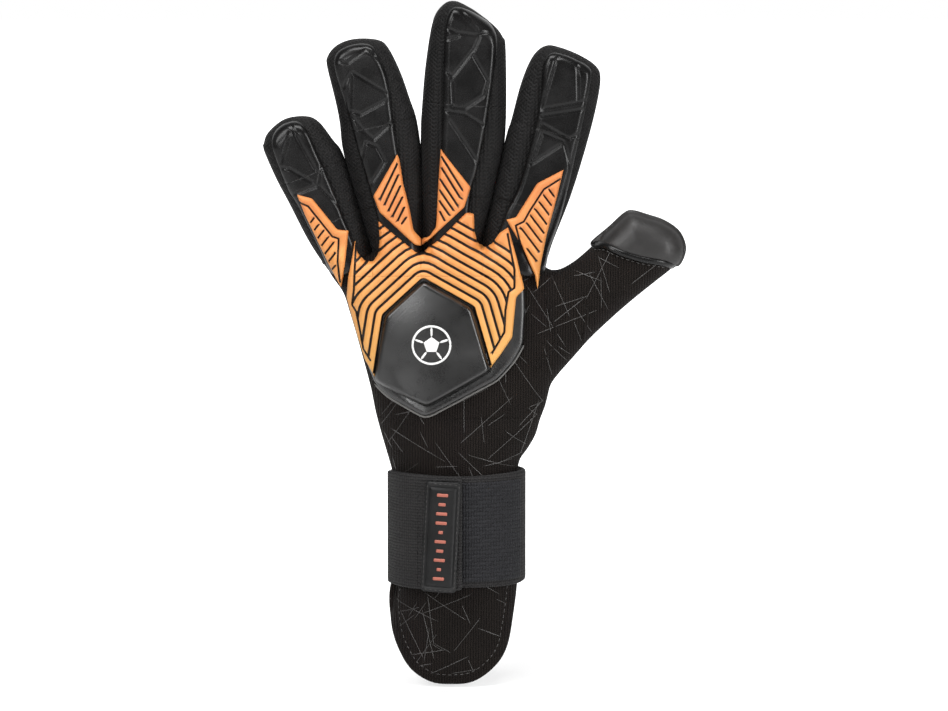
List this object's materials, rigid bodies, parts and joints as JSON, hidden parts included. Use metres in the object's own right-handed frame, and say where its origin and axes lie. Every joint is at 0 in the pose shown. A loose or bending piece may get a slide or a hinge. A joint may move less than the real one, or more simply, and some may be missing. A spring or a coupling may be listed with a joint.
{
  "type": "goalkeeper glove",
  "caption": "Left-hand goalkeeper glove: foam palm, punch pads on the back, flexing finger stalls, knit cuff and a hook-and-loop wrist strap.",
  "frame": {"origin": "lowest middle point of the wrist opening, at the mount wrist_opening", "axes": "+Z from the wrist opening towards the fingertips, +X towards the thumb, -Y out of the back of the hand, +Y out of the palm"},
  "size_m": [0.181, 0.0536, 0.2998],
  "materials": {
    "punch_orange": "soft matte foam, moulded",
    "satin_foam": "satin embossed foam",
    "knit": "ribbed stretch knit",
    "mesh": "air mesh",
    "palm_foam": "matte grip latex",
    "thumb_latex": "smooth matte latex",
    "boss_foam": "satin moulded rubber",
    "badge_white": "matte print",
    "webbing": "ribbed woven elastic",
    "loop_pile": "fine loop pile",
    "hook_tape": "hook tape",
    "label_rubber": "moulded soft rubber"
  },
  "bodies": {
    "cuff": {"cuff_back": "knit", "cuff_palm": "knit", "strap_band": "webbing", "loop_patch": "loop_pile"},
    "strap_end": {"strap_tongue": "webbing", "hook_patch": "hook_tape", "strap_label": "label_rubber"},
    "hand": {"palm_latex": "palm_foam", "backhand_knit": "knit", "hand_gussets": "mesh", "backhand_foam": "satin_foam", "punch_pad": "punch_orange", "knuckle_boss": "boss_foam", "badge_inlay": "badge_white"},
    "little_proximal": {"little_proximal_palm": "palm_foam", "little_proximal_back": "satin_foam", "little_proximal_gusset": "mesh", "punch_wing_little": "punch_orange"},
    "little_middle": {"little_middle_palm": "palm_foam", "little_middle_back": "satin_foam", "little_middle_gusset": "mesh"},
    "little_distal": {"little_distal_palm": "palm_foam", "little_distal_back": "satin_foam", "little_distal_gusset": "mesh"},
    "ring_proximal": {"ring_proximal_palm": "palm_foam", "ring_proximal_back": "satin_foam", "ring_proximal_gusset": "mesh", "punch_diamond_ring": "punch_orange"},
    "ring_middle": {"ring_middle_palm": "palm_foam", "ring_middle_back": "satin_foam", "ring_middle_gusset": "mesh"},
    "ring_distal": {"ring_distal_palm": "palm_foam", "ring_distal_back": "satin_foam", "ring_distal_gusset": "mesh"},
    "middle_proximal": {"middle_proximal_palm": "palm_foam", "middle_proximal_back": "satin_foam", "middle_proximal_gusset": "mesh", "punch_diamond_middle": "punch_orange"},
    "middle_middle": {"middle_middle_palm": "palm_foam", "middle_middle_back": "satin_foam", "middle_middle_gusset": "mesh"},
    "middle_distal": {"middle_distal_palm": "palm_foam", "middle_distal_back": "satin_foam", "middle_distal_gusset": "mesh"},
    "index_proximal": {"index_proximal_palm": "palm_foam", "index_proximal_back": "satin_foam", "index_proximal_gusset": "mesh", "punch_wing_index": "punch_orange"},
    "index_middle": {"index_middle_palm": "palm_foam", "index_middle_back": "satin_foam", "index_middle_gusset": "mesh"},
    "index_distal": {"index_distal_palm": "palm_foam", "index_distal_back": "satin_foam", "index_distal_gusset": "mesh"},
    "thumb_base": {"thumb_base_palm": "palm_foam", "thumb_base_back": "knit", "thumb_base_gusset": "knit"},
    "thumb_tip": {"thumb_tip_palm": "palm_foam", "thumb_tip_back": "thumb_latex", "thumb_tip_gusset": "knit"}
  },
  "joints": [
    {"name": "wrist_bend", "type": "hinge", "parent": "cuff", "child": "hand", "pos_m": [0, 0, 0.105], "axis": [-1, 0, 0], "range_deg": [-25, 25], "stiffness_Nm_per_rad": 1.2},
    {"name": "strap_open", "type": "hinge", "parent": "cuff", "child": "strap_end", "pos_m": [-0.03259, -0.00438, 0.069], "axis": [0, 0, -1], "range_deg": [0, 110], "stiffness_Nm_per_rad": 0.02},
    {"name": "little_knuckle", "type": "hinge", "parent": "hand", "child": "little_proximal", "pos_m": [-0.0528, 0.014, 0.19], "axis": [-1, 0, 0], "range_deg": [0, 80], "stiffness_Nm_per_rad": 0.25},
    {"name": "little_mid_joint", "type": "hinge", "parent": "little_proximal", "child": "little_middle", "pos_m": [-0.06306, 0.014, 0.21605], "axis": [-0.9304, 0, -0.3665], "range_deg": [0, 90], "stiffness_Nm_per_rad": 0.2},
    {"name": "little_end_joint", "type": "hinge", "parent": "little_middle", "child": "little_distal", "pos_m": [-0.06929, 0.014, 0.23187], "axis": [-0.9304, 0, -0.3665], "range_deg": [0, 54], "stiffness_Nm_per_rad": 0.1},
    {"name": "ring_knuckle", "type": "hinge", "parent": "hand", "child": "ring_proximal", "pos_m": [-0.0264, 0.014, 0.19], "axis": [-1, 0, 0], "range_deg": [0, 80], "stiffness_Nm_per_rad": 0.25},
    {"name": "ring_mid_joint", "type": "hinge", "parent": "ring_proximal", "child": "ring_middle", "pos_m": [-0.03505, 0.014, 0.23212], "axis": [-0.9796, 0, -0.2011], "range_deg": [0, 90], "stiffness_Nm_per_rad": 0.2},
    {"name": "ring_end_joint", "type": "hinge", "parent": "ring_middle", "child": "ring_distal", "pos_m": [-0.04038, 0.014, 0.25808], "axis": [-0.9796, 0, -0.2011], "range_deg": [0, 54], "stiffness_Nm_per_rad": 0.1},
    {"name": "middle_knuckle", "type": "hinge", "parent": "hand", "child": "middle_proximal", "pos_m": [-0.0024, 0.014, 0.19], "axis": [-1, 0, 0], "range_deg": [0, 80], "stiffness_Nm_per_rad": 0.25},
    {"name": "middle_mid_joint", "type": "hinge", "parent": "middle_proximal", "child": "middle_middle", "pos_m": [0.00065, 0.014, 0.23991], "axis": [-0.9981, 0, 0.061], "range_deg": [0, 90], "stiffness_Nm_per_rad": 0.2},
    {"name": "middle_end_joint", "type": "hinge", "parent": "middle_middle", "child": "middle_distal", "pos_m": [0.00248, 0.014, 0.26985], "axis": [-0.9981, 0, 0.061], "range_deg": [0, 54], "stiffness_Nm_per_rad": 0.1},
    {"name": "index_knuckle", "type": "hinge", "parent": "hand", "child": "index_proximal", "pos_m": [0.0262, 0.014, 0.19], "axis": [-1, 0, 0], "range_deg": [0, 80], "stiffness_Nm_per_rad": 0.25},
    {"name": "index_mid_joint", "type": "hinge", "parent": "index_proximal", "child": "index_middle", "pos_m": [0.03657, 0.014, 0.2307], "axis": [-0.969, 0, 0.247], "range_deg": [0, 90], "stiffness_Nm_per_rad": 0.2},
    {"name": "index_end_joint", "type": "hinge", "parent": "index_middle", "child": "index_distal", "pos_m": [0.043, 0.014, 0.25589], "axis": [-0.969, 0, 0.247], "range_deg": [0, 54], "stiffness_Nm_per_rad": 0.1},
    {"name": "thumb_root", "type": "hinge", "parent": "hand", "child": "thumb_base", "pos_m": [0.0422, 0.014, 0.1633], "axis": [-0.6018, 0, 0.7986], "range_deg": [0, 25], "stiffness_Nm_per_rad": 0.25},
    {"name": "thumb_joint", "type": "hinge", "parent": "thumb_base", "child": "thumb_tip", "pos_m": [0.06273, 0.014, 0.17877], "axis": [-0.6018, 0, 0.7986], "range_deg": [0, 55], "stiffness_Nm_per_rad": 0.1}
  ],
  "couplings": [
    {"joint": "little_end_joint", "follows": "little_mid_joint", "ratio": 0.6},
    {"joint": "ring_end_joint", "follows": "ring_mid_joint", "ratio": 0.6},
    {"joint": "middle_end_joint", "follows": "middle_mid_joint", "ratio": 0.6},
    {"joint": "index_end_joint", "follows": "index_mid_joint", "ratio": 0.6}
  ]
}
